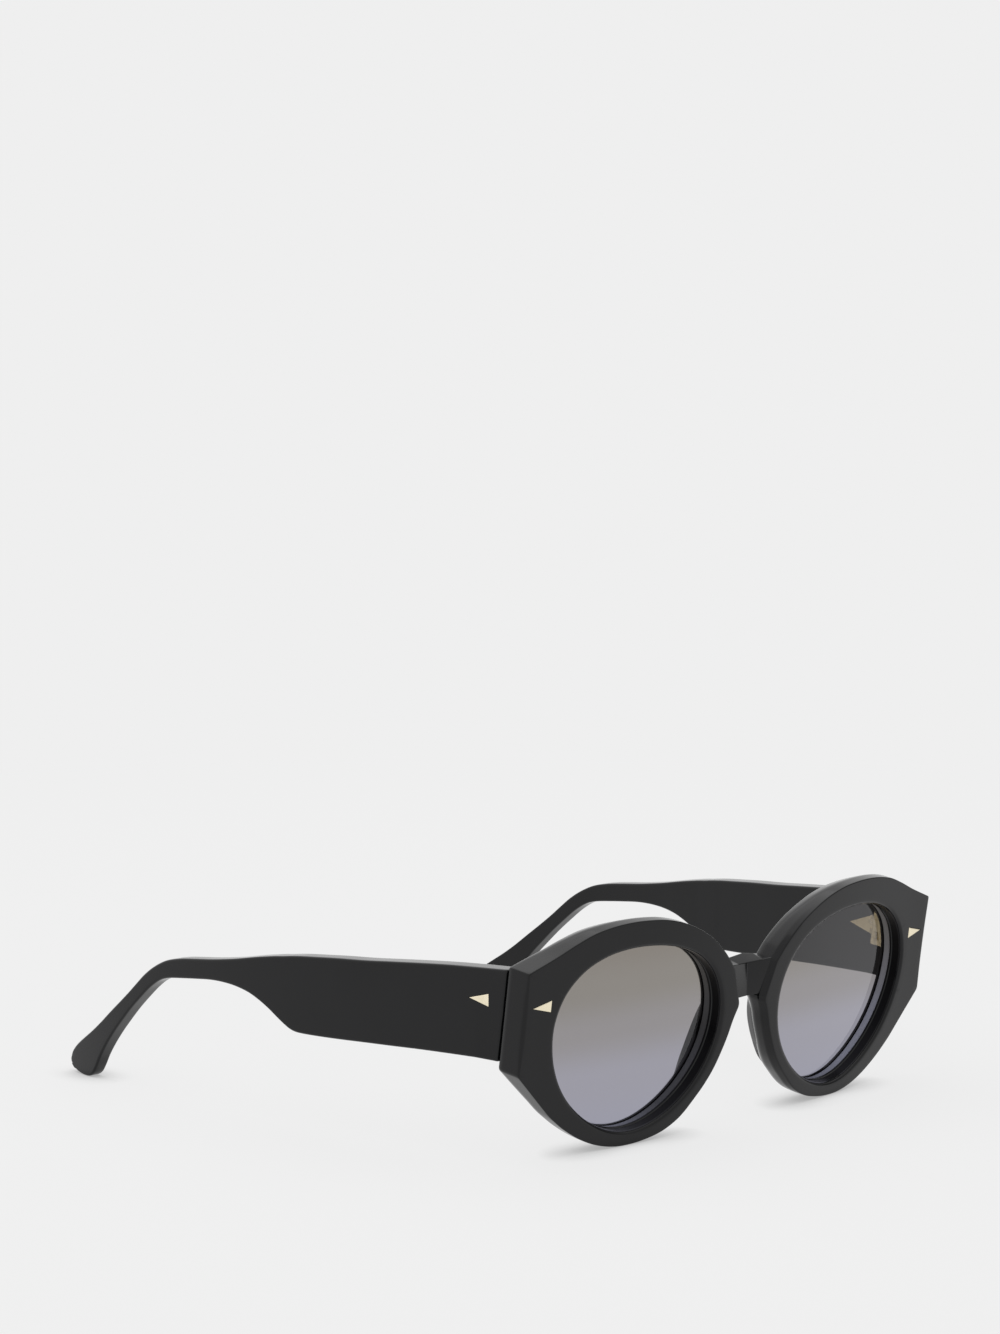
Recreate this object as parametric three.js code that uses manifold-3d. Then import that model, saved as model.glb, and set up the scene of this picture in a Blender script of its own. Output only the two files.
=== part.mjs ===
// Cat eye sunglasses: acetate front with two groove-set lenses, built-up nose pads and two wire-cored temples on
// five-knuckle hinges. Millimetres, +Z up, the front faces -Y, +X is the wearer's left. The glasses stand on a table
// at z = 0 on the bottoms of both rims and on both temple tips.
import * as THREE from "three";
import { mergeVertices } from "three/addons/utils/BufferGeometryUtils.js";
import Module from "manifold-3d";

// ---------------------------------------------------------------- driving dimensions
const TILT_DEG = 7.965; // lean of the front, top towards the viewer
const BEND_2 = 0.0017606; // wrap of the front: depth = BEND_2 u^2 + BEND_4 u^4
const BEND_4 = -1.2382e-7;
const FRONT_T = 6.35; // acetate thickness of the front
const Y_SHIFT = -69.786; // puts the origin under the middle of the object
const Z_SHIFT = -0.8251; // puts the rims and the tips on z = 0

const LENS_CU = 34.7, LENS_CV = 23.85; // centre of a lens opening on the flat front
// radius of the opening every 15 degrees, from outward, anticlockwise over the top
const HOLE_R = [23.73, 24.87, 25.17, 24.31, 22.87, 21.64, 21.08, 21.33, 22.32, 23.73, 24.83, 25.05, 24.43, 23.33, 22.13, 21.16, 20.58, 20.35, 20.22, 20.08, 20.06, 20.46, 21.33, 22.46];
const LENS_IN_GROOVE = 0.6; // how far the lens edge sits past the opening
const GROOVE_DEPTH = 0.85;
const LENS_F = 3.0, LENS_B = 5.2; // lens front and back, depth from the front face
const GROOVE_CLEAR = 0.15;

// outline of one half of the front, (u, v) on the flat front
const END_TOP = [67.9, 42.45], END_BOTTOM = [67.9, 20.1];
const NOSE_TOP = [6.35, 36.92], NOSE_BOTTOM = [3.47, 28.33];
const OUTLINE_TOP = [[60.35, 45.35], [54.89, 47.71], [50.15, 49.45], [45.18, 50.45], [40.09, 50.9], [35, 50.87], [29.95, 50.42], [24.95, 49.24], [20.77, 47.66], [15.58, 45.12], [12.18, 42.77], [9.17, 40.12]];
const OUTLINE_LOW = [[4.89, 25.21], [6.21, 21.37], [8.05, 17.2], [10.07, 13.58], [12.53, 10.45], [15.03, 8.02], [18.05, 5.42], [20.46, 3.88], [24.57, 2.17], [29.43, 1.06], [33.53, 0.61], [38.12, 0.65], [43.22, 1.62], [48.22, 3.57], [53.2, 6.45], [57.64, 9.78]];

const BEVEL_W = 0.85, BEVEL_D = 1.5; // nasal bevel of the rims at its widest
const BACK_CHAMFER_W = 1.5, BACK_CHAMFER_D = 2.6; // eased back edge of the rims
const RING_N = 96; // stations round a rim

const T_OUT = 67.8; // outer face of a temple at its butt end
const T_BOW_1 = 0.0935, T_BOW_2 = 0.000213, T_BOW_3 = -5.787e-6; // outward bow of the temple along its length
const T_Y0 = 6.04; // y of the temple butt's top edge before the shift
const T_GAP = 0.15; // joint between end piece and temple
const TIP_DROP = 0.2105; // lets the tips reach the table
const T_TOP_V = 41.68, T_BOTTOM_V = 21.59; // temple height at the butt
const T_EDGE = 0.55; // eased edges
// stations: y and z of the top edge, y and z of the bottom edge, thickness
const T_STATIONS = [
  [7.81, 42.09, 8.79, 22.94, 4.8], [15.63, 41.7, 15.63, 22.82, 4.8], [23.44, 41.15, 23.44, 22.64, 4.8], [31.26, 40.53, 31.26, 22.36, 4.75],
  [39.07, 39.89, 39.07, 22.1, 4.7], [46.88, 39.42, 46.88, 21.81, 4.6], [52.74, 38.97, 52.74, 21.67, 4.55], [57.14, 38.62, 56.65, 21.65, 4.5],
  [59.19, 38.41, 58.8, 21.76, 4.5], [60.95, 38.2, 60.36, 22.15, 4.48], [62.8, 37.94, 61.92, 22.88, 4.45], [65.05, 37.68, 64.27, 24.24, 4.4],
  [67.59, 37.3, 66.61, 25.68, 4.38], [70.32, 36.87, 69.54, 27.2, 4.35], [73.64, 36.27, 72.86, 28.52, 4.3], [77.16, 35.62, 76.77, 29.39, 4.2],
  [81.07, 35.02, 80.87, 29.79, 4.15], [85.46, 34.43, 85.17, 29.8, 4.1], [90.84, 33.85, 90.25, 29.36, 4], [95.72, 33.25, 95.13, 28.85, 3.95],
  [100.02, 32.32, 99.04, 28.37, 3.9], [102.95, 31.15, 101.48, 27.82, 3.9], [105.68, 29.7, 103.34, 27.04, 3.9], [108.22, 28, 105.1, 26.02, 3.9],
  [110.76, 25.93, 107.05, 24.67, 3.9], [114.08, 23.17, 109.98, 22.31, 3.85], [117.79, 20.3, 113.49, 19.34, 3.8], [121.7, 17.36, 117.01, 16.03, 3.75],
  [125.61, 14.35, 120.33, 12.74, 3.7], [129.32, 11.76, 123.26, 9.46, 3.6], [132.44, 9.79, 125.61, 6.4, 3.5], [134.79, 8.26, 127.36, 3.64, 3.45],
  [136.35, 7.05, 128.73, 1.96, 3.4], [137.52, 5.86, 130.29, 1.13, 3.3], [138.11, 4.7, 132.25, 1, 3.1], [138.3, 3.9, 134.59, 1.35, 2.8],
  [137.82, 3.05, 136.15, 1.85, 2.2],
];
const WIRE_R = 0.65, WIRE_CLEAR = 0.2, WIRE_Y_END = 127;

const HINGE_U = 61.0, HINGE_OFF = FRONT_T + 2.6; // hinge axis on the flat front
const HINGE_V0 = 29.7; // bottom of the lowest knuckle
const KNUCKLE_H = 1.4, KNUCKLE_GAP = 0.1, KNUCKLE_R = 1.5;
const SCREW_R = 0.66, SCREW_BORE_R = 0.72, SCREW_HEAD_R = 1.25;
const LEAF_GAP = 0.06, LEAF_T = 0.75;

const RIVET_F = [[65.9, 34.75], [60.7, 36.05], [60.7, 33.45]]; // front triangle, apex outwards, on the flat front
const RIVET_T = [[10.1, 35.5], [4.9, 36.85], [4.9, 34.15]]; // temple triangle, apex backwards, (y, z)
const RIVET_HEAD_T = 0.7, RIVET_PROUD = 0.05, RIVET_PIN_R = 0.55, RIVET_CLEAR = 0.08;
const PLATE_T = [[13.3, 34.6], [5.4, 37.3], [5.4, 32.3]]; // triangular hinge plate inside the temple, (y, z)

// ---------------------------------------------------------------- helpers
const wasm = await Module();
wasm.setup();
const TILT = THREE.MathUtils.degToRad(TILT_DEG), CT = Math.cos(TILT), ST = Math.sin(TILT);
const bend = (u) => BEND_2 * u * u + BEND_4 * u ** 4;
// flat front (u, depth, v) to the part's frame
const frontMap = (u, off, v, bu = u) => {
  const yp = bend(bu) + off;
  return [u, yp * CT - v * ST + Y_SHIFT, yp * ST + v * CT + Z_SHIFT];
};
const bow = (y) => T_OUT + T_BOW_1 * y + T_BOW_2 * y * y + T_BOW_3 * y ** 3;
// temple space (y along the temple, d inwards from the outer face, z) to the part's frame
const templeMap = (y, d, z) => [bow(y) - d, T_Y0 + y * 1.008 + Y_SHIFT, z * 1.012 - TIP_DROP * (y / 140) ** 2 + Z_SHIFT];

function closedMesh(points, tris) {
  // orient outwards by signed volume
  let vol = 0;
  for (const [a, b, c] of tris) {
    const [ax, ay, az] = points[a], [bx, by, bz] = points[b], [cx, cy, cz] = points[c];
    vol += ax * (by * cz - bz * cy) + ay * (bz * cx - bx * cz) + az * (bx * cy - by * cx);
  }
  const flip = vol < 0;
  const g = new THREE.BufferGeometry();
  g.setAttribute("position", new THREE.BufferAttribute(new Float32Array(points.flat()), 3));
  g.setIndex(tris.flatMap(([a, b, c]) => (flip ? [a, c, b] : [a, b, c])));
  return g;
}
// skin over closed loops of equal length; ends are capped with a fan, or joined when ring is true
function loft(loops, ring = false) {
  const n = loops[0].length, m = loops.length, pts = loops.flat(), tris = [];
  for (let i = 0; i < (ring ? m : m - 1); i++)
    for (let j = 0; j < n; j++) {
      const k = (j + 1) % n, i2 = (i + 1) % m;
      tris.push([i * n + j, i * n + k, i2 * n + k], [i * n + j, i2 * n + k, i2 * n + j]);
    }
  if (!ring)
    for (const [base, dir] of [[0, -1], [(m - 1) * n, 1]]) {
      const loop = pts.slice(base, base + n), c = [0, 1, 2].map((q) => loop.reduce((s, p) => s + p[q], 0) / n);
      const ci = pts.length;
      pts.push(c);
      for (let j = 0; j < n; j++) {
        const k = (j + 1) % n;
        tris.push(dir > 0 ? [base + j, base + k, ci] : [base + k, base + j, ci]);
      }
    }
  return closedMesh(pts, tris);
}
function toSolid(geometry) {
  let g = geometry.clone();
  g.deleteAttribute("normal");
  g.deleteAttribute("uv");
  g = mergeVertices(g, 1e-4);
  return new wasm.Manifold(new wasm.Mesh({ numProp: 3, vertProperties: new Float32Array(g.attributes.position.array), triVerts: new Uint32Array(g.index.array) }));
}
function toGeometry(solid) {
  const m = solid.getMesh(), n = m.numProp, v = new Float32Array(m.numVert * 3);
  for (let i = 0; i < m.numVert; i++) for (let q = 0; q < 3; q++) v[i * 3 + q] = m.vertProperties[i * n + q];
  const g = new THREE.BufferGeometry();
  g.setAttribute("position", new THREE.BufferAttribute(v, 3));
  g.setIndex(new THREE.BufferAttribute(new Uint32Array(m.triVerts), 1));
  return g;
}
function warp(geometry, f) {
  const p = geometry.attributes.position;
  for (let i = 0; i < p.count; i++) p.setXYZ(i, ...f(p.getX(i), p.getY(i), p.getZ(i)));
  return geometry;
}
function mirrored(geometry) {
  const g = geometry.clone(), p = g.attributes.position, idx = Array.from(g.index.array);
  for (let i = 0; i < p.count; i++) p.setX(i, -p.getX(i));
  for (let i = 0; i < idx.length; i += 3) [idx[i + 1], idx[i + 2]] = [idx[i + 2], idx[i + 1]];
  g.setIndex(idx);
  return g;
}
// prism over a polygon in (a, b), from c0 to c1, laid out by put(a, c, b)
function prism(poly, c0, c1, put, steps = 1) {
  const loops = [];
  for (let i = 0; i <= steps; i++) loops.push(poly.map(([a, b]) => put(a, c0 + ((c1 - c0) * i) / steps, b)));
  return loft(loops);
}
const circle = (a, b, r, n) => Array.from({ length: n }, (_, i) => [a + r * Math.cos((2 * Math.PI * i) / n), b + r * Math.sin((2 * Math.PI * i) / n)]);
const box = (a0, a1, b0, b1) => [[a0, b0], [a1, b0], [a1, b1], [a0, b1]];

// ---------------------------------------------------------------- outlines of the front
const toPolar = (pts) => {
  const q = pts.map(([u, v]) => [Math.atan2(v - LENS_CV, u - LENS_CU), Math.hypot(u - LENS_CU, v - LENS_CV)]);
  return q.map(([t, r]) => [t < 0 ? t + 2 * Math.PI : t, r]).sort((a, b) => a[0] - b[0]);
};
const radiusAt = (table, t) => {
  const T = ((t % (2 * Math.PI)) + 2 * Math.PI) % (2 * Math.PI);
  let i = table.findIndex((e) => e[0] >= T);
  const b = i < 0 ? [table[0][0] + 2 * Math.PI, table[0][1]] : table[i];
  const a = i === 0 ? [table[table.length - 1][0] - 2 * Math.PI, table[table.length - 1][1]] : table[(i < 0 ? table.length : i) - 1];
  // straight chord between the two neighbours, in polar form
  const ax = a[1] * Math.cos(a[0]), ay = a[1] * Math.sin(a[0]), bx = b[1] * Math.cos(b[0]), by = b[1] * Math.sin(b[0]);
  const dx = bx - ax, dy = by - ay, c = Math.cos(T), s = Math.sin(T), den = c * dy - s * dx;
  return Math.abs(den) < 1e-9 ? a[1] : (ax * dy - ay * dx) / den;
};
const spline = (pts, closed, n) => new THREE.CatmullRomCurve3(pts.map(([x, y]) => new THREE.Vector3(x, y, 0)), closed, "centripetal").getPoints(n).map((p) => [p.x, p.y]);
const lerpPts = (a, b, n) => Array.from({ length: n }, (_, i) => [a[0] + ((b[0] - a[0]) * i) / n, a[1] + ((b[1] - a[1]) * i) / n]);
const outline = toPolar([
  ...spline([END_TOP, ...OUTLINE_TOP, NOSE_TOP], false, 260).slice(0, -1),
  ...lerpPts(NOSE_TOP, NOSE_BOTTOM, 30),
  ...spline([NOSE_BOTTOM, ...OUTLINE_LOW], false, 300),
  ...lerpPts(OUTLINE_LOW[OUTLINE_LOW.length - 1], END_BOTTOM, 40).slice(1),
  ...lerpPts(END_BOTTOM, END_TOP, 40),
]);
const holeTable = toPolar(spline(HOLE_R.map((r, i) => [LENS_CU + r * Math.cos((i * Math.PI) / 12), LENS_CV + r * Math.sin((i * Math.PI) / 12)]), true, 360).slice(0, -1));
const angles = Array.from({ length: RING_N }, (_, i) => (2 * Math.PI * i) / RING_N);
for (const corner of [END_TOP, END_BOTTOM, NOSE_TOP, NOSE_BOTTOM, OUTLINE_LOW[OUTLINE_LOW.length - 1]]) {
  const t = toPolar([corner])[0][0], k = Math.round(t / ((2 * Math.PI) / RING_N)) % RING_N;
  angles[k] = t > 2 * Math.PI - 0.03 && k === 0 ? t - 2 * Math.PI : t;
}
const smooth = (x) => { const t = Math.min(1, Math.max(0, x)); return t * t * (3 - 2 * t); };
const deg = (t) => { const d = THREE.MathUtils.radToDeg(t); return d < 0 ? d + 360 : d; };
const bevelAt = (t) => { const d = deg(t); return smooth((d - 118) / 40) * smooth((250 - d) / 45); };
const backAt = (t) => {
  let d = deg(t);
  if (d > 180) d -= 360; // -180..180, 0 outwards
  const end = d > 0 ? smooth((d - 34) / 22) : smooth((-d - 14) / 22);
  const nose = 1 - 0.75 * smooth((Math.abs(d) - 128) / 25);
  return end * nose;
};
const at = (r, t) => [LENS_CU + r * Math.cos(t), LENS_CV + r * Math.sin(t)];
const GF = LENS_F - GROOVE_CLEAR, GB = LENS_B + GROOVE_CLEAR;

// ---------------------------------------------------------------- front
function rimSolid() {
  const loops = angles.map((t) => {
    const o = radiusAt(outline, t), h = radiusAt(holeTable, t), w = BEVEL_W * bevelAt(t), b = BACK_CHAMFER_W * backAt(t);
    const p = (r, off) => { const [u, v] = at(r, t); return [u, off, v]; };
    return [
      p(o - w, 0), p(o, BEVEL_D), p(o, FRONT_T - BACK_CHAMFER_D), p(o - b, FRONT_T),
      p(h, FRONT_T), p(h, GB), p(h + GROOVE_DEPTH, GB), p(h + GROOVE_DEPTH, GF), p(h, GF), p(h, 0),
    ];
  });
  return toSolid(loft(loops, true));
}
// faceted bridge block between the rims, set back from their faces
function bridgeSolid() {
  // front edge (ends, crease), back edge (ends, peak): half width, depth and height of each
  const ring = (x, f, vf, fc, vc, k, vk, kc, vkc) => [[-x, f, vf], [0, fc, vc], [x, f, vf], [x + 0.6, k, vk], [0, kc, vkc], [-x - 0.6, k, vk]];
  return toSolid(loft([ring(5.0, 1.25, 29.2, 1.85, 29.1, FRONT_T - 0.9, 28.6, FRONT_T - 0.9, 28.7), ring(8.2, 0.95, 37.35, 2.75, 36.45, FRONT_T - 0.6, 36.6, 4.5, 38.3)]));
}
const flatPut = (u, off, v) => [u, off, v];
let half = rimSolid();
const pinHole = (c, r, c0, c1, put) => prism(circle(c[0], c[1], r, 16), c0, c1, put);
const offsetTri = (tri, d) => {
  // grow a triangle by d on every side
  const cx = (tri[0][0] + tri[1][0] + tri[2][0]) / 3, cy = (tri[0][1] + tri[1][1] + tri[2][1]) / 3;
  const lines = tri.map((p, i) => {
    const q = tri[(i + 1) % 3];
    let nx = q[1] - p[1], ny = p[0] - q[0];
    const l = Math.hypot(nx, ny);
    nx /= l; ny /= l;
    if (nx * (cx - p[0]) + ny * (cy - p[1]) > 0) { nx = -nx; ny = -ny; }
    return [nx, ny, nx * p[0] + ny * p[1] + d];
  });
  return tri.map((_, i) => {
    const [a, b, e] = lines[(i + 2) % 3], [c, d2, f] = lines[i], det = a * d2 - b * c;
    return [(e * d2 - b * f) / det, (a * f - e * c) / det];
  });
};
const FRONT_PIN = [61.8, 34.75];
half = half
  .subtract(toSolid(prism(offsetTri(RIVET_F, RIVET_CLEAR), -1, RIVET_HEAD_T + RIVET_CLEAR, flatPut)))
  .subtract(toSolid(pinHole(FRONT_PIN, RIVET_PIN_R + RIVET_CLEAR, -1, FRONT_T + 1, flatPut)));
const halfGeometry = toGeometry(half);
const frontFlat = half.add(toSolid(mirrored(halfGeometry))).add(bridgeSolid());
const front = warp(toGeometry(frontFlat), (u, off, v) => frontMap(u, off, v));

// ---------------------------------------------------------------- lens
function lensGeometry() {
  const fr = [0.3, 0.6, 0.82, 1], pts = [], tris = [], n = angles.length;
  const put = (k, off) => angles.forEach((t) => { const [u, v] = at((radiusAt(holeTable, t) + LENS_IN_GROOVE) * k, t); pts.push([u, off, v]); });
  fr.forEach((k) => put(k, LENS_F));
  [...fr].reverse().forEach((k) => put(k, LENS_B));
  const m = fr.length * 2;
  for (let i = 0; i < m - 1; i++)
    for (let j = 0; j < n; j++) {
      const k = (j + 1) % n;
      tris.push([i * n + j, i * n + k, (i + 1) * n + k], [i * n + j, (i + 1) * n + k, (i + 1) * n + j]);
    }
  for (const [base, off, dir] of [[0, LENS_F, -1], [(m - 1) * n, LENS_B, 1]]) {
    const ci = pts.length;
    pts.push([LENS_CU, off, LENS_CV]);
    for (let j = 0; j < n; j++) {
      const k = (j + 1) % n;
      tris.push(dir > 0 ? [base + j, base + k, ci] : [base + k, base + j, ci]);
    }
  }
  return warp(closedMesh(pts, tris), (u, off, v) => frontMap(u, off, v));
}

// ---------------------------------------------------------------- nose pad, built up behind the nasal side of a rim
const PAD = [
  // v, reach behind the front, place of the ridge from the opening's edge
  [31.2, 0.5, -0.9], [28.5, 1.0, -1.7], [25.6, 1.75, -1.0], [22.9, 2.3, -0.75], [19.6, 2.75, -0.85], [16.6, 2.95, -1.3], [13.9, 2.75, -1.95], [11.4, 2.0, -2.6], [9.4, 1.15, -2.7], [8.0, 0.6, -1.6], [7.0, 0.3, -0.8],
];
function padGeometry() {
  const loops = PAD.map(([v, reach, flare]) => {
    // nasal outline and opening edge at this height
    const side = (table) => {
      let best = null;
      for (let d = 130; d <= 235; d += 0.5) {
        const t = THREE.MathUtils.degToRad(d), [u, vv] = at(radiusAt(table, t), t);
        if (!best || Math.abs(vv - v) < best[1]) best = [u, Math.abs(vv - v)];
      }
      return best[0];
    };
    const a = side(outline) + 0.55, b = side(holeTable) - 0.25, z0 = FRONT_T + 0.05;
    const f = (x, o) => [x, z0 + o, v];
    const r = b + flare, q = Math.max(a + 0.1, r - 1.2);
    return [f(a, 0), f(b, 0), f(b + flare * 0.5, reach * 0.62), f(r, reach * 0.92), f(Math.max(r - 0.5, a + 0.14), reach), f(q, reach * 0.93), f(a + (q - a) * 0.4, reach * 0.55), f(a + (q - a) * 0.06, reach * 0.16)];
  });
  return warp(loft(loops), (u, off, v) => frontMap(u, off, v));
}

// ---------------------------------------------------------------- temple
const lerp = (a, b, t) => a + (b - a) * t;
function templeGeometry() {
  const loops = [];
  const section = (top, bottom, t, put) => {
    const len = Math.hypot(top[0] - bottom[0], top[1] - bottom[1]), e = Math.min(T_EDGE, t * 0.3, len * 0.3) / len, E = e * len;
    const q = (k, d) => put(lerp(top[0], bottom[0], k), d, lerp(top[1], bottom[1], k));
    return [q(e, 0), q(0, E), q(0, t - E), q(e, t), q(1 - e, t), q(1, t - E), q(1, E), q(1 - e, 0)];
  };
  // butt end, parallel to the back of the end piece
  const put0 = (_, d, v) => frontMap(T_OUT - d, FRONT_T + T_GAP, v);
  loops.push(section([0, T_TOP_V], [0, T_BOTTOM_V], 4.8, put0));
  for (const [yt, zt, yb, zb, t] of T_STATIONS) loops.push(section([yt, zt], [yb, zb], t, templeMap));
  return loft(loops);
}
// centre line of the core wire, (y, z) and depth from the outer face
const WIRE_PATH = [[3.5, 31.2, 2.4], ...T_STATIONS.filter((s) => (s[0] + s[2]) / 2 <= WIRE_Y_END).map(([yt, zt, yb, zb, t]) => {
  const y = (yt + yb) / 2, k = Math.min(1, Math.max(0, (y - 50) / 40));
  return [y, lerp(31.2, (zt + zb) / 2, k < 1 ? k * k * (3 - 2 * k) : 1), t / 2];
})];
function wireGeometry(r, extend = 0) {
  const n = 8;
  const path = extend ? [[WIRE_PATH[0][0] - 9, WIRE_PATH[0][1], WIRE_PATH[0][2]], [WIRE_PATH[0][0], WIRE_PATH[0][1], WIRE_PATH[0][2]], ...WIRE_PATH.slice(1)] : WIRE_PATH;
  const loops = path.map(([y, z, d], i) => {
    const a = path[Math.max(0, i - 1)], b = path[Math.min(path.length - 1, i + 1)];
    const ty = b[0] - a[0], tz = b[1] - a[1], l = Math.hypot(ty, tz), ny = -tz / l, nz = ty / l;
    const lastGrow = extend && i === path.length - 1 ? 0.4 : 0;
    return Array.from({ length: n }, (_, k) => {
      const c = (r * Math.cos(((k + 0.5) * 2 * Math.PI) / n)) / Math.cos(Math.PI / n), s = (r * Math.sin(((k + 0.5) * 2 * Math.PI) / n)) / Math.cos(Math.PI / n);
      return templeMap(y + ny * s + (ty / l) * lastGrow, d + c, z + nz * s + (tz / l) * lastGrow);
    });
  });
  return loft(loops);
}
const TEMPLE_PIN = [6.6, 35.5];
let temple = toSolid(templeGeometry())
  .subtract(toSolid(wireGeometry(WIRE_R + WIRE_CLEAR, 1)))
  .subtract(toSolid(prism(offsetTri(RIVET_T, RIVET_CLEAR), -1, RIVET_HEAD_T + RIVET_CLEAR, templeMap)))
  .subtract(toSolid(prism(circle(TEMPLE_PIN[0], TEMPLE_PIN[1], RIVET_PIN_R + RIVET_CLEAR, 16), -1, 7, templeMap)));

// ---------------------------------------------------------------- hinge
// rigid frame of the hinge: a outwards, b backwards from the axis, v up along the axis
const hingePut = (a, v, b) => frontMap(HINGE_U + a, HINGE_OFF + b, v, HINGE_U);
const knuckleV = (i) => HINGE_V0 + i * (KNUCKLE_H + KNUCKLE_GAP);
const knuckle = (i) => toSolid(prism(circle(0, 0, KNUCKLE_R, 20), knuckleV(i), knuckleV(i) + KNUCKLE_H, hingePut));
const HINGE_V1 = knuckleV(4) + KNUCKLE_H;
const bore = toSolid(prism(circle(0, 0, SCREW_BORE_R, 20), HINGE_V0 - 2, HINGE_V1 + 2, hingePut));
function frontLeaf() {
  const c0 = FRONT_T + LEAF_GAP, c1 = c0 + LEAF_T;
  let s = toSolid(prism([[59.3, HINGE_V0 + 0.9], [62.45, HINGE_V0 + 0.1], [62.45, HINGE_V1 + 0.3], [57.2, HINGE_V1 + 0.9], [57.2, HINGE_V1 - 0.9]], c0, c1, (u, off, v) => frontMap(u, off, v)));
  for (const i of [0, 2, 4])
    s = s.add(knuckle(i)).add(toSolid(prism(box(-1.25, 0.55, c0 + 0.25 - HINGE_OFF, 0), knuckleV(i), knuckleV(i) + KNUCKLE_H, hingePut)));
  return s.subtract(bore).subtract(toSolid(pinHole(FRONT_PIN, RIVET_PIN_R + 0.06, FRONT_T - 1, c1 + 0.25, (u, off, v) => frontMap(u, off, v))));
}
function templeLeaf() {
  const d0 = 4.8 + LEAF_GAP, d1 = d0 + LEAF_T;
  let s = toSolid(prism(PLATE_T, d0, d1, templeMap));
  for (const i of [1, 3])
    s = s.add(knuckle(i)).add(toSolid(prism([[0.0, -0.55], [1.35, -0.55], [1.62, 0.6], [1.95, 3.4], [1.3, 3.4], [0.0, 1.3]], knuckleV(i), knuckleV(i) + KNUCKLE_H, hingePut)));
  return s.subtract(bore).subtract(toSolid(prism(circle(TEMPLE_PIN[0], TEMPLE_PIN[1], RIVET_PIN_R + 0.06, 16), 4, d1 + 0.3, templeMap)));
}
function screw() {
  const shank = toSolid(prism(circle(0, 0, SCREW_R, 20), HINGE_V0 - 0.2, HINGE_V1 + 0.3, hingePut));
  const head = toSolid(prism(circle(0, 0, SCREW_HEAD_R, 20), HINGE_V1 + 0.06, HINGE_V1 + 0.8, hingePut));
  const slot = toSolid(prism(box(-2, 2, -0.18, 0.18), HINGE_V1 + 0.45, HINGE_V1 + 1.2, hingePut));
  return shank.add(head).subtract(slot);
}

// ---------------------------------------------------------------- triangular rivets
const frontRivet = toSolid(prism(RIVET_F, -RIVET_PROUD, RIVET_HEAD_T, (u, off, v) => frontMap(u, off, v))).add(
  toSolid(prism(circle(FRONT_PIN[0], FRONT_PIN[1], RIVET_PIN_R, 16), RIVET_HEAD_T - 0.2, FRONT_T + LEAF_GAP + LEAF_T, (u, off, v) => frontMap(u, off, v))));
const templeRivet = toSolid(prism(RIVET_T, -RIVET_PROUD, RIVET_HEAD_T, templeMap)).add(
  toSolid(prism(circle(TEMPLE_PIN[0], TEMPLE_PIN[1], RIVET_PIN_R, 16), RIVET_HEAD_T - 0.2, 4.8 + LEAF_GAP + LEAF_T, templeMap)));

// ---------------------------------------------------------------- assembly
const group = new THREE.Group();
const FINISH = {
  acetate: [0x17171a, 0.22, 0.0], lens: [0x8c847e, 0.08, 0.0], pad: [0x17171a, 0.25, 0.0],
  gold: [0xe0cf9a, 0.25, 1.0], steel: [0xb8b8bc, 0.3, 1.0], wire: [0xa8a8ad, 0.4, 1.0],
};
function add(name, geometry, finish) {
  const g = geometry.index ? geometry.toNonIndexed() : geometry;
  g.computeVertexNormals();
  const [color, roughness, metalness] = FINISH[finish];
  const mesh = new THREE.Mesh(g, new THREE.MeshStandardMaterial({ color, roughness, metalness }));
  mesh.name = name;
  group.add(mesh);
}
function addPair(name, geometry, finish) {
  add(name + "_left", geometry, finish);
  add(name + "_right", mirrored(geometry), finish);
}
add("frame_front", front, "acetate");
addPair("lens", lensGeometry(), "lens");
addPair("nose_pad", padGeometry(), "pad");
addPair("temple", toGeometry(temple), "acetate");
addPair("core_wire", wireGeometry(WIRE_R), "wire");
addPair("hinge_front_leaf", toGeometry(frontLeaf()), "gold");
addPair("hinge_temple_leaf", toGeometry(templeLeaf()), "gold");
addPair("hinge_screw", toGeometry(screw()), "steel");
addPair("front_rivet", toGeometry(frontRivet), "gold");
addPair("temple_rivet", toGeometry(templeRivet), "gold");

export default group;
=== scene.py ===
import math

import bmesh
import bpy
import numpy as np
from mathutils import Matrix, Vector


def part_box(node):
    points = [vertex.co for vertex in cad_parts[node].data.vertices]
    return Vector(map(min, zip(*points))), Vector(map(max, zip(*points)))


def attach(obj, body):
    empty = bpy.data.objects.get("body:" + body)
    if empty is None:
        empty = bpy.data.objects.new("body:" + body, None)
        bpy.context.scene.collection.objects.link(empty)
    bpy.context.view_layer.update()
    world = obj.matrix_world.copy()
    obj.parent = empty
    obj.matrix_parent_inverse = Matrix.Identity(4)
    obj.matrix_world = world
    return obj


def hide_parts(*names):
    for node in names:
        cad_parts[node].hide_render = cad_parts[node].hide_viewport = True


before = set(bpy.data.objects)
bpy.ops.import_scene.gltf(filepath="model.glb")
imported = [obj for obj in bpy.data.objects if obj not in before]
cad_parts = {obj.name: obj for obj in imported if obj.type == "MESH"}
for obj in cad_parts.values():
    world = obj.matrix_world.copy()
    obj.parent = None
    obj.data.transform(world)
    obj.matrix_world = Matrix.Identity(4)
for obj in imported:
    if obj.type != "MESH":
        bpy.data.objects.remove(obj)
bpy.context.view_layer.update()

# ------------------------------------------------------------------ driving dimensions, millimetres, as in the CAD
TILT = math.radians(7.965)
CT, ST = math.cos(TILT), math.sin(TILT)
B2, B4 = 0.0017606, -1.2382e-7
FT = 6.35
YS, ZS = -69.786, -0.8251
CU, CV = 34.7, 23.85
HOLE_R = [23.73, 24.87, 25.17, 24.31, 22.87, 21.64, 21.08, 21.33, 22.32, 23.73, 24.83, 25.05,
          24.43, 23.33, 22.13, 21.16, 20.58, 20.35, 20.22, 20.08, 20.06, 20.46, 21.33, 22.46]
END_TOP, END_BOTTOM = (67.9, 42.45), (67.9, 20.1)
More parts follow.
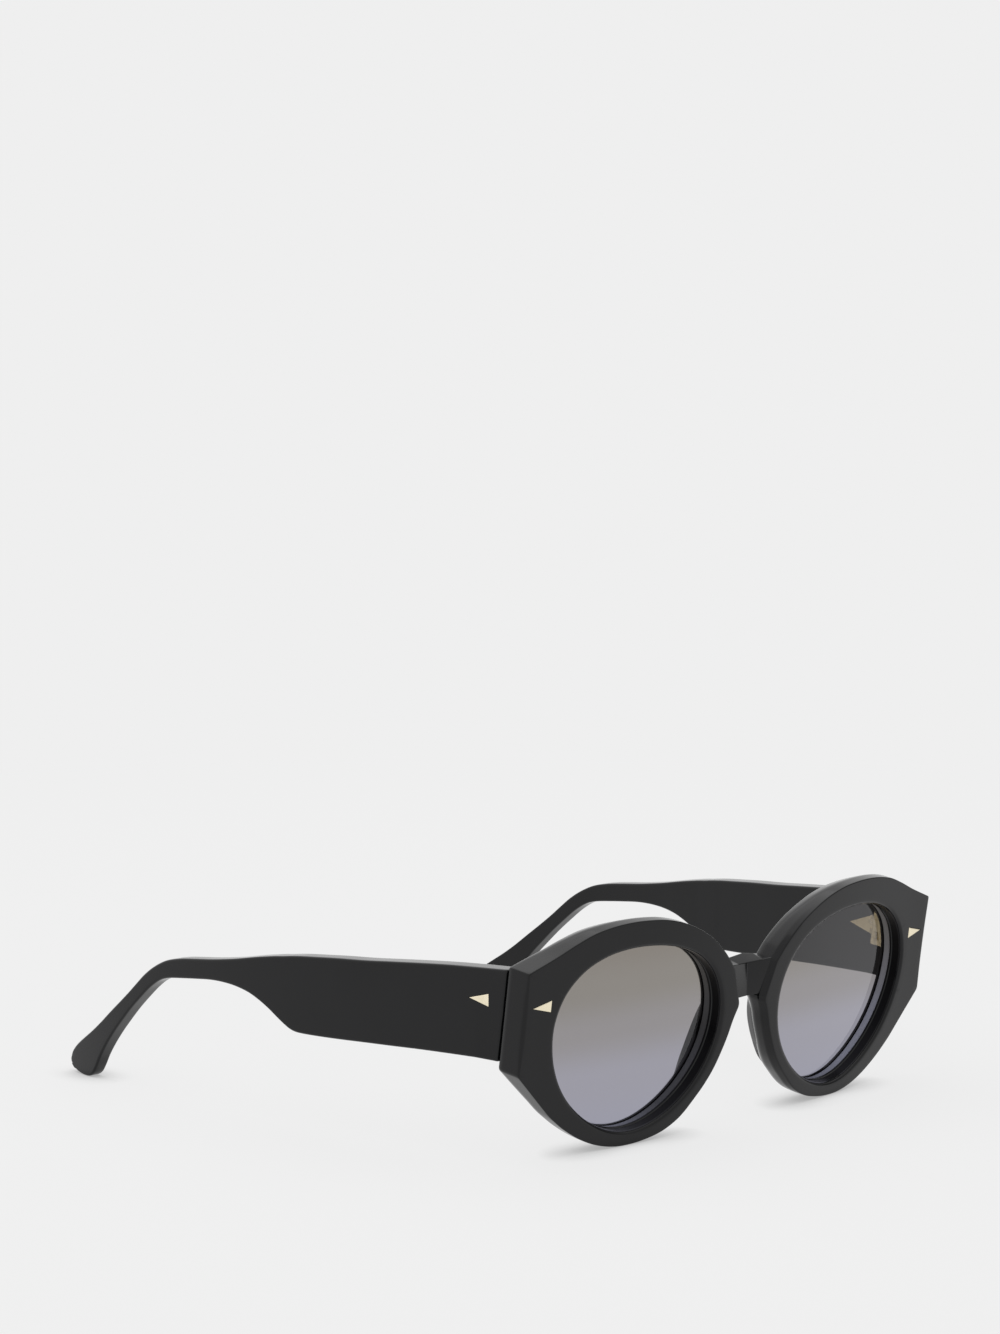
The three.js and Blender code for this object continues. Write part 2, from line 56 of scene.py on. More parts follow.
NOSE_TOP, NOSE_BOTTOM = (6.35, 36.92), (3.47, 28.33)
OUT_TOP = [(60.35, 45.35), (54.89, 47.71), (50.15, 49.45), (45.18, 50.45), (40.09, 50.9), (35, 50.87), (29.95, 50.42), (24.95, 49.24),
           (20.77, 47.66), (15.58, 45.12), (12.18, 42.77), (9.17, 40.12)]
OUT_LOW = [(4.89, 25.21), (6.21, 21.37), (8.05, 17.2), (10.07, 13.58), (12.53, 10.45), (15.03, 8.02), (18.05, 5.42), (20.46, 3.88),
           (24.57, 2.17), (29.43, 1.06), (33.53, 0.61), (38.12, 0.65), (43.22, 1.62), (48.22, 3.57), (53.2, 6.45), (57.64, 9.78)]
LENS_F, LENS_B = 3.6, 5.5
RIVET_F = [(65.9, 34.75), (60.7, 36.05), (60.7, 33.45)]
RIVET_T = [(10.1, 35.5), (4.9, 36.85), (4.9, 34.15)]
FRONT_PIN, TEMPLE_PIN = (61.8, 34.75), (6.6, 35.5)
T_OUT, BOW1, BOW2, BOW3, T_Y0, TIP_DROP = 67.8, 0.0935, 0.000213, -5.787e-6, 6.04, 0.2105
T_GAP, T_TOP_V, T_BOTTOM_V = 0.15, 41.68, 21.59
STATIONS = [
    (7.81, 42.09, 8.79, 22.94, 4.8), (15.63, 41.7, 15.63, 22.82, 4.8), (23.44, 41.15, 23.44, 22.64, 4.8), (31.26, 40.53, 31.26, 22.36, 4.75),
    (39.07, 39.89, 39.07, 22.1, 4.7), (46.88, 39.42, 46.88, 21.81, 4.6), (52.74, 38.97, 52.74, 21.67, 4.55), (57.14, 38.62, 56.65, 21.65, 4.5),
    (59.19, 38.41, 58.8, 21.76, 4.5), (60.95, 38.2, 60.36, 22.15, 4.48), (62.8, 37.94, 61.92, 22.88, 4.45), (65.05, 37.68, 64.27, 24.24, 4.4),
    (67.59, 37.3, 66.61, 25.68, 4.38), (70.32, 36.87, 69.54, 27.2, 4.35), (73.64, 36.27, 72.86, 28.52, 4.3), (77.16, 35.62, 76.77, 29.39, 4.2),
    (81.07, 35.02, 80.87, 29.79, 4.15), (85.46, 34.43, 85.17, 29.8, 4.1), (90.84, 33.85, 90.25, 29.36, 4), (95.72, 33.25, 95.13, 28.85, 3.95),
    (100.02, 32.32, 99.04, 28.37, 3.9), (102.95, 31.15, 101.48, 27.82, 3.9), (105.68, 29.7, 103.34, 27.04, 3.9), (108.22, 28, 105.1, 26.02, 3.9),
    (110.76, 25.93, 107.05, 24.67, 3.9), (114.08, 23.17, 109.98, 22.31, 3.85), (117.79, 20.3, 113.49, 19.34, 3.8), (121.7, 17.36, 117.01, 16.03, 3.75),
    (125.61, 14.35, 120.33, 12.74, 3.7), (129.32, 11.76, 123.26, 9.46, 3.6), (132.44, 9.79, 125.61, 6.4, 3.5), (134.79, 8.26, 127.36, 3.64, 3.45),
    (136.35, 7.05, 128.73, 1.96, 3.4), (137.52, 5.86, 130.29, 1.13, 3.3), (138.11, 4.7, 132.25, 1, 3.1), (138.3, 3.9, 134.59, 1.35, 2.8),
    (137.82, 3.05, 136.15, 1.85, 2.2),
]
PAD = [(31.2, 0.5, -0.9), (28.5, 1.0, -1.7), (25.6, 1.75, -1.0), (22.9, 2.2, -0.63), (19.6, 2.35, -0.45), (16.6, 2.2, -0.56),
       (13.9, 1.9, -1.1), (11.4, 1.4, -2.0), (9.4, 0.9, -2.4), (8.0, 0.6, -1.6), (7.0, 0.3, -0.8)]


# ------------------------------------------------------------------ maps
def bend(u):
    return B2 * u * u + B4 * u ** 4


def front_map(p):
    """(u, depth, v) on the flat front, mm, to the row frame, metres."""
    p = np.asarray(p, float)
    u, off, v = p[..., 0], p[..., 1], p[..., 2]
    yp = bend(u) + off
    return np.stack([u, yp * CT - v * ST + YS, yp * ST + v * CT + ZS], -1) / 1000


def bow(y):
    return T_OUT + BOW1 * y + BOW2 * y * y + BOW3 * y ** 3


def temple_map(p):
    """(y, depth inwards, z) in temple space, mm, to the row frame, metres."""
    p = np.asarray(p, float)
    y, d, z = p[..., 0], p[..., 1], p[..., 2]
    return np.stack([bow(y) - d, T_Y0 + y * 1.008 + YS, z * 1.012 - TIP_DROP * (y / 140) ** 2 + ZS], -1) / 1000


# ------------------------------------------------------------------ curves
def catmull(pts, n, closed=False):
    """Centripetal Catmull-Rom, n steps over the whole curve."""
    P = [np.asarray(p, float) for p in pts]
    m = len(P)
    out = []
    for i in range(n + (0 if closed else 1)):
        s = i / n * (m if closed else m - 1)
        k = int(math.floor(s))
        w = s - k
        if not closed and k >= m - 1:
            k, w = m - 2, 1.0
        if closed:
            p0, p1, p2, p3 = P[(k - 1) % m], P[k % m], P[(k + 1) % m], P[(k + 2) % m]
        else:
            p1, p2 = P[k], P[k + 1]
            p0 = P[k - 1] if k > 0 else 2 * P[0] - P[1]
            p3 = P[k + 2] if k + 2 < m else 2 * P[m - 1] - P[m - 2]
        d0, d1, d2 = (max(1e-9, np.linalg.norm(b - a) ** 0.5) for a, b in ((p0, p1), (p1, p2), (p2, p3)))
        t1 = ((p1 - p0) / d0 - (p2 - p0) / (d0 + d1) + (p2 - p1) / d1) * d1
        t2 = ((p2 - p1) / d1 - (p3 - p1) / (d1 + d2) + (p3 - p2) / d2) * d1
        w2, w3 = w * w, w * w * w
        out.append((2 * w3 - 3 * w2 + 1) * p1 + (w3 - 2 * w2 + w) * t1 + (3 * w2 - 2 * w3) * p2 + (w3 - w2) * t2)
    return np.array(out)


def round_corner(a, b, c, back, n):
    """Points of a soft corner at b, between a and c, reaching back mm along each side."""
    a, b, c = (np.asarray(q, float) for q in (a, b, c))
    la, lc = np.linalg.norm(a - b), np.linalg.norm(c - b)
    da, dc = min(back, la * 0.46), min(back, lc * 0.46)
    A, C = b + (a - b) / max(la, 1e-9) * da, b + (c - b) / max(lc, 1e-9) * dc
    out = []
    for i in range(n + 1):
        t = i / n
        k = 0.62  # meant to pull the arc closer to a circle's than a plain quadratic, but the pull below is multiplied by zero, so the points stay on the quadratic
        w = (1 - t) ** 2, 2 * t * (1 - t), t * t
        q = w[0] * A + w[1] * b + w[2] * C
        chord = A * (1 - t) + C * t
        out.append(q + (chord - q) * 0.12 * (1 - k) * 0)
    return out


def trim(line, back_start, back_end):
    """A polyline cut back by those lengths at its ends."""
    line = np.asarray(line, float)
    s = np.concatenate([[0], np.cumsum(np.linalg.norm(np.diff(line, axis=0), axis=1))])
    a, b = back_start, s[-1] - back_end
    keep = [i for i in range(len(line)) if a + 1e-6 < s[i] < b - 1e-6]
    at = lambda q: np.array([np.interp(q, s, line[:, k]) for k in range(line.shape[1])])
    return np.vstack([at(a), line[keep], at(b)])


def resample(line, step):
    line = np.asarray(line, float)
    s = np.concatenate([[0], np.cumsum(np.linalg.norm(np.diff(line, axis=0), axis=1))])
    n = max(2, int(round(s[-1] / step)))
    q = np.linspace(0, s[-1], n + 1)
    return np.stack([np.interp(q, s, line[:, k]) for k in range(line.shape[1])], 1)


# outline of one half, closed, with soft corners
def outline_points(step):
    top = catmull([END_TOP] + OUT_TOP + [NOSE_TOP], 520)
    nose = np.array([NOSE_TOP, NOSE_BOTTOM], float)
    low = catmull([NOSE_BOTTOM] + OUT_LOW, 640)
    under = np.array([OUT_LOW[-1], END_BOTTOM], float)
    side = np.array([END_BOTTOM, END_TOP], float)
    segs = [top, nose, low, under, side]
    backs = [0.5, 0.9, 1.6, 0.55, 0.35]  # at the end of each: nose top, nose bottom, rim to end piece, end bottom, end top
    out = []
    for i, seg in enumerate(segs):
        before, after = backs[i - 1], backs[i]
        body = resample(trim(seg, before, after), step)
        out.append(body)
        nxt = trim(segs[(i + 1) % 5], after, 0.2)
        corner = seg[-1]
        arc = np.array(round_corner(body[-1], corner, nxt[0], 99, 7))
        # round_corner halves the reach, so the arc is built straight from the two cut points
        A, C = body[-1], nxt[0]
        t = np.linspace(0, 1, 8)[1:-1, None]
        arc = (1 - t) ** 2 * A + 2 * t * (1 - t) * corner + t * t * C
        out.append(arc)
    return np.vstack(out)


def polar(pts):
    d = pts - np.array([CU, CV])
    t = np.arctan2(d[:, 1], d[:, 0]) % (2 * math.pi)
    r = np.hypot(d[:, 0], d[:, 1])
    k = np.argsort(t)
    return t[k], r[k]


STEP = 0.62
OT, OR = polar(outline_points(STEP))
keep = np.concatenate([[True], np.diff(OT) > 1e-4])
OT, OR = OT[keep], OR[keep]
_hole = catmull([(CU + r * math.cos(i * math.pi / 12), CV + r * math.sin(i * math.pi / 12)) for i, r in enumerate(HOLE_R)], 1440, True)
HT, HR = polar(_hole)
hole_r = lambda t: np.interp(t % (2 * math.pi), np.r_[HT[-1] - 2 * math.pi, HT, HT[0] + 2 * math.pi], np.r_[HR[-1], HR, HR[0]])
out_r = lambda t: np.interp(t % (2 * math.pi), np.r_[OT[-1] - 2 * math.pi, OT, OT[0] + 2 * math.pi], np.r_[OR[-1], OR, OR[0]])
smooth = lambda x: (lambda c: c * c * (3 - 2 * c))(min(1.0, max(0.0, x)))


# ------------------------------------------------------------------ mesh helpers
def mesh_object(name, verts, faces):
    me = bpy.data.meshes.new(name)
    me.from_pydata([tuple(v) for v in verts], [], faces)
    me.update()
    ob = bpy.data.objects.new(name, me)
    bpy.context.scene.collection.objects.link(ob)
    return ob


def fix_normals(ob):
    bm = bmesh.new()
    bm.from_mesh(ob.data)
    bmesh.ops.recalc_face_normals(bm, faces=bm.faces)
    bm.to_mesh(ob.data)
    bm.free()


def loft(name, loops, ring=False, caps=True):
    loops = [np.asarray(l, float) for l in loops]
    n, m = len(loops[0]), len(loops)
    verts = np.vstack(loops)
    faces = []
    for i in range(m if ring else m - 1):
        j = (i + 1) % m
        for a in range(n):
            b = (a + 1) % n
            faces.append((i * n + a, i * n + b, j * n + b, j * n + a))
    if not ring and caps:
        faces.append(tuple(range(n))[::-1])
        faces.append(tuple((m - 1) * n + k for k in range(n)))
    ob = mesh_object(name, verts, faces)
    fix_normals(ob)
    return ob


def soft_loop(poly, backs, n=4, mids=None):
    """A closed profile with soft corners. backs is the reach of each corner, mids the points put along each side."""
    m = len(poly)
    out = []
    for i in range(m):
        out += round_corner(poly[i - 1], poly[i], poly[(i + 1) % m], backs[i], n)
        k = mids[i] if mids else 0
        if k:
            a = out[-1]
            nx = round_corner(poly[i], poly[(i + 1) % m], poly[(i + 2) % m], backs[(i + 1) % m], n)[0]
            out += [a + (nx - a) * (q + 1) / (k + 1) for q in range(k)]
    return np.array(out)


def apply_mods(ob):
    dg = bpy.context.evaluated_depsgraph_get()
    me = bpy.data.meshes.new_from_object(ob.evaluated_get(dg))
    old = ob.data
    ob.modifiers.clear()
    ob.data = me
    bpy.data.meshes.remove(old)


def boolean(ob, other, op):
    mod = ob.modifiers.new("b", "BOOLEAN")
    mod.operation, mod.solver, mod.object = op, "EXACT", other
    apply_mods(ob)
    bpy.data.objects.remove(other)


def tidy(ob, merge=1e-4):
    bm = bmesh.new()
    bm.from_mesh(ob.data)
    bmesh.ops.remove_doubles(bm, verts=bm.verts, dist=merge)
    bmesh.ops.dissolve_degenerate(bm, edges=bm.edges, dist=merge * 0.5)
    bmesh.ops.triangulate(bm, faces=[f for f in bm.faces if len(f.verts) > 4], quad_method="BEAUTY", ngon_method="BEAUTY")
    bmesh.ops.recalc_face_normals(bm, faces=bm.faces)
    bm.to_mesh(ob.data)
    bm.free()


def remap(ob, f):
    n = len(ob.data.vertices)
    co = np.zeros(n * 3)
    ob.data.vertices.foreach_get("co", co)
    ob.data.vertices.foreach_set("co", f(co.reshape(-1, 3)).ravel())
    ob.data.update()


def mirror_copy(ob, name):
    o = ob.copy()
    o.data = ob.data.copy()
    o.name = name
    o.data.name = name
    bpy.context.scene.collection.objects.link(o)
    remap(o, lambda p: p * np.array([-1.0, 1, 1]))
    o.data.flip_normals()
    return o


def shade(ob, angle=32, weighted=True):
    for p in ob.data.polygons:
        p.use_smooth = True
    ob.data.set_sharp_from_angle(angle=math.radians(angle))
    if weighted:
        w = ob.modifiers.new("wn", "WEIGHTED_NORMAL")
        w.keep_sharp = True
        w.weight = 60
    ob.data.update()


def prism_obj(name, poly, c0, c1):
    n = len(poly)
    v = [(a, c0, b) for a, b in poly] + [(a, c1, b) for a, b in poly]
    f = [tuple(range(n)), tuple(range(n, 2 * n))[::-1]] + [(i, (i + 1) % n, n + (i + 1) % n, n + i) for i in range(n)]
    ob = mesh_object(name, v, f)
    fix_normals(ob)
    return ob


circle = lambda a, b, r, n: [(a + r * math.cos(2 * math.pi * i / n), b + r * math.sin(2 * math.pi * i / n)) for i in range(n)]


def grow(tri, d):
    c = np.mean(tri, axis=0)
    lines = []
    for i in range(3):
        p, q = np.array(tri[i], float), np.array(tri[(i + 1) % 3], float)
        nrm = np.array([q[1] - p[1], p[0] - q[0]])
        nrm /= np.linalg.norm(nrm)
        if nrm @ (c - p) > 0:
            nrm = -nrm
        lines.append((nrm, nrm @ p + d))
    out = []
    for i in range(3):
        (n1, d1), (n2, d2) = lines[(i + 2) % 3], lines[i]
        out.append(tuple(np.linalg.solve(np.array([n1, n2]), np.array([d1, d2]))))
    return out


# ------------------------------------------------------------------ front
def rim():
    deg180 = lambda t: (math.degrees(t) + 180) % 360 - 180
    D_ANG = [-180, -165, -150, -125, -100, -82, -65, -45, -25, -7, 30, 36, 42, 57, 70, 79, 100, 125, 150, 163, 180]
    D_DEP = [2.4, 2.4, 2.0, 2.2, 3.3, 3.9, 3.9, 3.2, 2.3, 1.2, 1.2, 1.4, 1.75, 2.8, 3.4, 3.6, 3.4, 2.4, 1.7, 1.8, 2.4]
    B_WID = [2.3, 2.2, 1.2, 0.9, 1.35, 1.55, 1.55, 1.35, 1.0, 0.35, 0.35, 0.5, 0.8, 1.25, 1.5, 1.55, 1.45, 1.0, 0.6, 0.85, 2.3]
    loops = []
    for t, o in zip(OT, OR):
        d360, d = math.degrees(t), deg180(t)
        h = float(hole_r(t))
        w = 0.85 * smooth((d360 - 118) / 40) * smooth((250 - d360) / 45)
        cd, b = np.interp(d, D_ANG, D_DEP), np.interp(d, D_ANG, B_WID)
        corner = smooth(1 - abs(d - 12) / 24)  # softer front corner along the side facet of the end piece
        fo = 0.28 + 0.62 * corner
        poly = [(o - w, 0), (o, 1.5), (o, FT - cd), (o - b, FT), (h, FT), (h, LENS_B + 0.08), (h + 0.32, LENS_B + 0.08),
                (h + 0.32, LENS_F - 0.08), (h - 0.2, LENS_F - 0.08), (h - 0.2, LENS_F - 0.58), (h, LENS_F - 0.8), (h, 0)]
        backs = [fo, 0.34, min(1.0, cd * 0.45), 0.7, 0.5, 0.05, 0.05, 0.05, 0.07, 0.05, 0.06, 0.95]
        prof = soft_loop(poly, backs, 4, [0, 1, 0, 3, 1, 0, 0, 0, 0, 0, 1, 4])
        c, s = math.cos(t), math.sin(t)
        loops.append(np.stack([CU + prof[:, 0] * c, prof[:, 1], CV + prof[:, 0] * s], 1))
    ob = loft("rim", loops, ring=True)
    boolean(ob, prism_obj("c1", grow(RIVET_F, 0.06), -1, 0.78), "DIFFERENCE")
    return ob


def bridge():
    def ring(x, f, vf, fc, vc, k, vk, kc, vkc):
        s = lambda p, q, t: p + (q - p) * t
        front = [(t * x, s(fc, f, abs(t)), s(vc, vf, abs(t))) for t in (-1, -0.5, 0, 0.5, 1)]
        rear = [(t * (x + 0.6), s(kc, k, abs(t)), s(vkc, vk, abs(t))) for t in (1, 0.5, 0, -0.5, -1)]
        return np.array(front + rear, float)
    a = ring(5.0, 1.25, 29.2, 1.85, 29.1, FT - 0.9, 28.6, FT - 0.9, 28.7)
    z = ring(8.2, 0.95, 37.35, 2.75, 36.45, FT - 0.6, 36.6, 4.5, 38.3)
    loops = [a + (z - a) * k for k in np.linspace(0, 1, 9)]
    ob = loft("bridge", loops, caps=False)
    bm = bmesh.new()
    bm.from_mesh(ob.data)
    bm.verts.ensure_lookup_table()
    for base in (0, 80):
        for q in range(4):
            bm.faces.new([bm.verts[base + i] for i in (q, q + 1, 8 - q, 9 - q)])
    bmesh.ops.recalc_face_normals(bm, faces=bm.faces)
    edges = []
    for e in bm.edges:
        if len(e.link_faces) == 2 and e.calc_face_angle(0) > math.radians(12):
            edges.append(e)
    bmesh.ops.bevel(bm, geom=edges, offset=0.2, segments=2, profile=0.6, affect="EDGES")
    bmesh.ops.recalc_face_normals(bm, faces=bm.faces)
    bm.to_mesh(ob.data)
    bm.free()
    return ob


def make_front():
    left = rim()
    right = mirror_copy(left, "rim_r")
    mid = bridge()
    boolean(left, mid, "UNION")
    boolean(left, right, "UNION")
    tidy(left)
    # the flats of the opening's inner wall, in front of the lens, which take a darker copy of the acetate as painted
    # shade
    painted_shade_walls = []
    for p in left.data.polygons:
        c = p.center
        du, dv = abs(c.x) - CU, c.z - CV
        r, t = math.hypot(du, dv), math.atan2(dv, du)
        inner = abs(r - float(hole_r(t))) < 0.4 and 0.75 < c.y < LENS_F + 0.1 and abs(p.normal.y) < 0.35
        painted_shade_walls.append(1 if inner else 0)
    remap(left, front_map)
    left.data.polygons.foreach_set("material_index", painted_shade_walls)
    left.name = left.data.name = "front"
    shade(left, 34)
    return left


# ------------------------------------------------------------------ lens
def make_lens():
    fr = [0.0, 0.12, 0.25, 0.38, 0.5, 0.62, 0.73, 0.83, 0.91, 0.97]
    ts = np.linspace(0, 2 * math.pi, 193)[:-1]
    R = hole_r(ts) + 0.22
    loops = []
    put = lambda rr, off: np.stack([CU + rr * np.cos(ts), np.full_like(ts, off), CV + rr * np.sin(ts)], 1)
    for k in fr[1:]:
        loops.append(put(R * k, LENS_F))
    loops += [put(R - 0.12, LENS_F), put(R - 0.03, LENS_F + 0.05), put(R, LENS_F + 0.15), put(R, LENS_B - 0.15), put(R - 0.03, LENS_B - 0.05), put(R - 0.12, LENS_B)]
    for k in fr[1:][::-1]:
        loops.append(put(R * k, LENS_B))
    n, m = len(ts), len(loops)
    verts = np.vstack(loops + [np.array([[CU, LENS_F, CV], [CU, LENS_B, CV]])])
    faces = []
    for i in range(m - 1):
        for a in range(n):
            b = (a + 1) % n
            faces.append((i * n + a, i * n + b, (i + 1) * n + b, (i + 1) * n + a))
    for a in range(n):
        b = (a + 1) % n
        faces.append((a, b, m * n))
        faces.append(((m - 1) * n + b, (m - 1) * n + a, m * n + 1))
    ob = mesh_object("lens", verts, faces)
    k = len(fr) - 1
    edge = [1 if k + 2 <= i // n < k + 3 and i < n * (m - 1) else 0 for i in range(n * (m - 1))] + [0] * (2 * n)
    remap(ob, front_map)
    fix_normals(ob)
    ob.data.polygons.foreach_set("material_index", edge)
    shade(ob, 40)
    return ob


# ------------------------------------------------------------------ nose pad
def make_pad():
    def side(table, v):
        best = None
        for d in np.arange(130, 235.1, 0.25):
            t = math.radians(d)
            r = float(table(t))
            u, vv = CU + r * math.cos(t), CV + r * math.sin(t)
            if best is None or abs(vv - v) < best[1]:
                best = (u, abs(vv - v))
        return best[0]
    rows = catmull([(v, r, f) for v, r, f in PAD], 30)
    loops = []
    for v, reach, flare in rows:
        a, b, z0 = side(out_r, v) + 2.2, side(hole_r, v) - 0.35, FT - 0.55
        reach = max(reach, 0.3) + 0.6
        r = b + flare
        q = max(a + 0.1, r - 0.45)
        pts = [(a, 0), (b, 0), (b + flare * 0.3, reach * 0.4), (b + flare * 0.68, reach * 0.72), (r, reach * 0.93), (max(r - 0.2, a + 0.14), reach),
               (q, reach * 0.93), (a + (q - a) * 0.76, reach * 0.72), (a + (q - a) * 0.38, reach * 0.42), (a + (q - a) * 0.1, reach * 0.18)]
        loops.append(np.array([(x, z0 + o, v) for x, o in pts]))
    ob = loft("pad", loops)
    m = ob.modifiers.new("s", "SUBSURF")
    m.levels = m.render_levels = 2
    apply_mods(ob)
    tidy(ob)
    remap(ob, front_map)
    shade(ob, 60, weighted=False)
    return ob


# ------------------------------------------------------------------ temple
def section(top, bottom, t, put, edge=0.6):
    top, bottom = np.array(top, float), np.array(bottom, float)
    ln = np.linalg.norm(top - bottom)
    e = min(edge, t * 0.34, ln * 0.34)
    # closed profile in (k along the height 0..ln, d across)
    poly = [(0, 0), (0, t), (ln, t), (ln, 0)]
    prof = soft_loop(poly, [e] * 4, 5, [2, 5, 2, 5])
    pts = []
    for s, d in prof:
        q = top + (bottom - top) * (s / ln)
        pts.append((q[0], d, q[1]))
    return put(np.array(pts))


def make_temple():
    def put0(p):
        q = p.copy()
        q[:, 0], q[:, 1] = T_OUT - p[:, 1], FT + T_GAP
        return front_map(q)
    rows = catmull(STATIONS, 36 * 5)
    st = [section((a, b), (c, d), t, temple_map) for a, b, c, d, t in rows]
    butt = section((0, T_TOP_V), (0, T_BOTTOM_V), 4.8, put0)
    loops = []
    cen = butt.mean(0)
    for k, sh in ((0.0, 0.30), (0.012, 0.16), (0.028, 0.06), (0.05, 0.0)):
        base = butt + (st[0] - butt) * k
        v = base - cen
        ln = np.linalg.norm(v, axis=1, keepdims=True)
        loops.append(cen + v * (1 - sh / 1000 / ln * 1.0))
    for k in (0.15, 0.3, 0.45, 0.6, 0.75, 0.9):
        loops.append(butt + (st[0] - butt) * k)
    loops += st
    # the tip closes over a soft end
    last, prev = st[-1], st[-4]
    c = last.mean(0)
    out = (c - prev.mean(0))
    out /= np.linalg.norm(out)
    for k in (0.2, 0.4, 0.6, 0.8, 0.95):
        s = math.sqrt(1 - k * k)
        loops.append(c + (last - c) * (0.12 + 0.88 * s) + out * 0.00045 * k)
    ob = loft("temple", loops)
    # pocket for the rivet head
    pocket = grow(RIVET_T, 0.06)
    cut = prism_obj("c2", pocket, -1, 0.78)
    remap(cut, temple_map)
    boolean(ob, cut, "DIFFERENCE")
    tidy(ob, 2e-6)
    shade(ob, 34)
    return ob


# ------------------------------------------------------------------ rivets
def make_rivet(tri, pin, back, f, name):
    """A wedge head, its top edges softly ground, on a round pin."""
    def tri_loop(d, off):
        return np.array([(a, off, b) for a, b in grow(tri, d)])
    loops = [tri_loop(-0.34, -0.10), tri_loop(-0.14, -0.085), tri_loop(-0.04, -0.03), tri_loop(0, 0.06), tri_loop(0, 0.7)]
    head = loft(name, [l for l in loops])
    rod = prism_obj("rod", circle(pin[0], pin[1], 0.55, 24), 0.5, back)
    boolean(head, rod, "UNION")
    tidy(head, 1e-5)
    remap(head, f)
    fix_normals(head)
    shade(head, 20)
    return head


# ------------------------------------------------------------------ materials
def nodes_of(mat):
    mat.use_nodes = True
    nt = mat.node_tree
    return nt, nt.nodes, nt.links


def principled(name, base, rough, metal=0.0, ior=1.5, spec=0.5):
    m = bpy.data.materials.new(name)
    nt, N, L = nodes_of(m)
    p = next(n for n in N if n.type == "BSDF_PRINCIPLED") if any(n.type == "BSDF_PRINCIPLED" for n in N) else N.new("ShaderNodeBsdfPrincipled")
    p.inputs["Base Color"].default_value = (*base, 1)
    p.inputs["Roughness"].default_value = rough
    p.inputs["Metallic"].default_value = metal
    p.inputs["IOR"].default_value = ior
    p.inputs["Specular IOR Level"].default_value = spec
    return m, nt, N, L, p


def noise(N, L, coord, scale, detail=3.0, rough=0.55):
    n = N.new("ShaderNodeTexNoise")
    n.inputs["Scale"].default_value = scale
    n.inputs["Detail"].default_value = detail
    n.inputs["Roughness"].default_value = rough
    L.new(coord, n.inputs["Vector"])
    return n


def map_range(N, L, value, a, b, c, d):
    n = N.new("ShaderNodeMapRange")
    n.inputs["From Min"].default_value, n.inputs["From Max"].default_value = a, b
    n.inputs["To Min"].default_value, n.inputs["To Max"].default_value = c, d
    L.new(value, n.inputs["Value"])
    return n.outputs["Result"]


def acetate(name, base=(0.0042, 0.0042, 0.0048), rough=0.13, spread=0.05, bump=0.02, spec=0.30):
    """Black acetate, tumbled: a soft gloss with faint clouding, polish waves and micro-pitting."""
    m, nt, N, L, p = principled(name, base, rough, ior=1.48, spec=spec)
    tc = N.new("ShaderNodeTexCoord").outputs["Object"]
    cloud = noise(N, L, tc, 90.0, 4.0)
    fine = noise(N, L, tc, 2600.0, 2.0)
    mixc = N.new("ShaderNodeMix")
    mixc.data_type = "RGBA"
    mixc.inputs["A"].default_value = (*[c * 0.8 for c in base], 1)
    mixc.inputs["B"].default_value = (*[c * 1.25 for c in base], 1)
    L.new(cloud.outputs["Fac"], mixc.inputs["Factor"])
    L.new(mixc.outputs["Result"], p.inputs["Base Color"])
    add = N.new("ShaderNodeMath")
    add.operation = "ADD"
    L.new(map_range(N, L, cloud.outputs["Fac"], 0.3, 0.7, rough - spread * 0.5, rough + spread * 0.5), add.inputs[0])
    L.new(map_range(N, L, fine.outputs["Fac"], 0.3, 0.7, -0.012, 0.012), add.inputs[1])
    L.new(add.outputs[0], p.inputs["Roughness"])
    wave = noise(N, L, tc, 260.0, 2.0)
    b1 = N.new("ShaderNodeBump")
    b1.inputs["Strength"].default_value = bump
    b1.inputs["Distance"].default_value = 0.00006
    L.new(wave.outputs["Fac"], b1.inputs["Height"])
    b2 = N.new("ShaderNodeBump")
    b2.inputs["Strength"].default_value = bump * 0.6
    b2.inputs["Distance"].default_value = 0.00001
    L.new(fine.outputs["Fac"], b2.inputs["Height"])
    L.new(b1.outputs["Normal"], b2.inputs["Normal"])
    L.new(b2.outputs["Normal"], p.inputs["Normal"])
    return m


def gold(name, base=(0.86, 0.72, 0.44), rough=0.24):
    """Pale gold plating: fine grinding lines and slight tone changes."""
    m, nt, N, L, p = principled(name, base, rough, metal=1.0)
    tc = N.new("ShaderNodeTexCoord").outputs["Object"]
    mp = N.new("ShaderNodeMapping")
    mp.inputs["Scale"].default_value = (1.0, 0.12, 1.0)
    L.new(tc, mp.inputs["Vector"])
    lines = noise(N, L, mp.outputs["Vector"], 5200.0, 2.0)
    cloud = noise(N, L, tc, 420.0, 3.0)
    mixc = N.new("ShaderNodeMix")
    mixc.data_type = "RGBA"
    mixc.inputs["A"].default_value = (*[c * 0.9 for c in base], 1)
    mixc.inputs["B"].default_value = (min(1, base[0] * 1.08), min(1, base[1] * 1.08), min(1, base[2] * 1.16), 1)
    L.new(cloud.outputs["Fac"], mixc.inputs["Factor"])
    L.new(mixc.outputs["Result"], p.inputs["Base Color"])
    L.new(map_range(N, L, lines.outputs["Fac"], 0.3, 0.7, rough - 0.06, rough + 0.08), p.inputs["Roughness"])
    b = N.new("ShaderNodeBump")
    b.inputs["Strength"].default_value = 0.12
    b.inputs["Distance"].default_value = 0.00001
    L.new(lines.outputs["Fac"], b.inputs["Height"])
    L.new(b.outputs["Normal"], p.inputs["Normal"])
    return m


